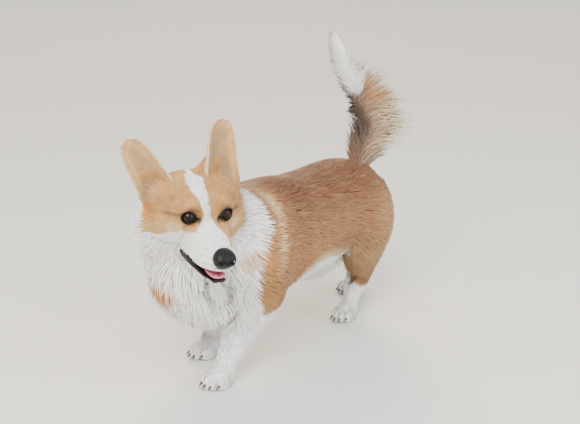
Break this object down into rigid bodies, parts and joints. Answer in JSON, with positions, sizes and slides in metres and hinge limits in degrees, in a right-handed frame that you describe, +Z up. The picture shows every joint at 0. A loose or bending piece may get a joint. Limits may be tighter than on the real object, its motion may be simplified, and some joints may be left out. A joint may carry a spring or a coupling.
{
  "type": "pembroke welsh corgi",
  "caption": "Life-size adult pembroke welsh corgi with a full tail, walking slowly with its head turned left and its tail raised, as a still museum model.",
  "frame": {"origin": "middle of the animal's bounding box in plan, on the floor that it stands on", "axes": "+Z up; the trunk lies along Y and faces -Y; the animal's left side is +X"},
  "size_m": [0.2482, 0.6526, 0.5136],
  "materials": {
    "red_coat": "dense reddish brown double coat",
    "tan_coat": "short tan and white coat of the head",
    "white_coat": "soft white coat",
    "nose_leather": "black pebbled nose leather, slightly moist",
    "tongue_skin": "moist pink skin",
    "eye": "dark brown, wet and glossy",
    "claw_horn": "dark translucent horn"
  },
  "bodies": {
    "root": {"head": "tan_coat", "lower_jaw": "white_coat", "nose": "nose_leather", "tongue": "tongue_skin", "eye_left": "eye", "eye_right": "eye", "ear_left": "tan_coat", "ear_right": "tan_coat", "neck": "white_coat", "trunk": "red_coat", "tail": "red_coat", "foreleg_left": "white_coat", "foreleg_right": "white_coat", "hindleg_left": "red_coat", "hindleg_right": "red_coat", "forepaw_left": "white_coat", "forepaw_right": "white_coat", "hindpaw_left": "white_coat", "hindpaw_right": "white_coat", "foreclaw_left_1": "claw_horn", "foreclaw_left_2": "claw_horn", "foreclaw_left_3": "claw_horn", "foreclaw_left_4": "claw_horn", "foreclaw_right_1": "claw_horn", "foreclaw_right_2": "claw_horn", "foreclaw_right_3": "claw_horn", "foreclaw_right_4": "claw_horn", "hindclaw_left_1": "claw_horn", "hindclaw_left_2": "claw_horn", "hindclaw_left_3": "claw_horn", "hindclaw_left_4": "claw_horn", "hindclaw_right_1": "claw_horn", "hindclaw_right_2": "claw_horn", "hindclaw_right_3": "claw_horn", "hindclaw_right_4": "claw_horn"}
  },
  "joints": []
}
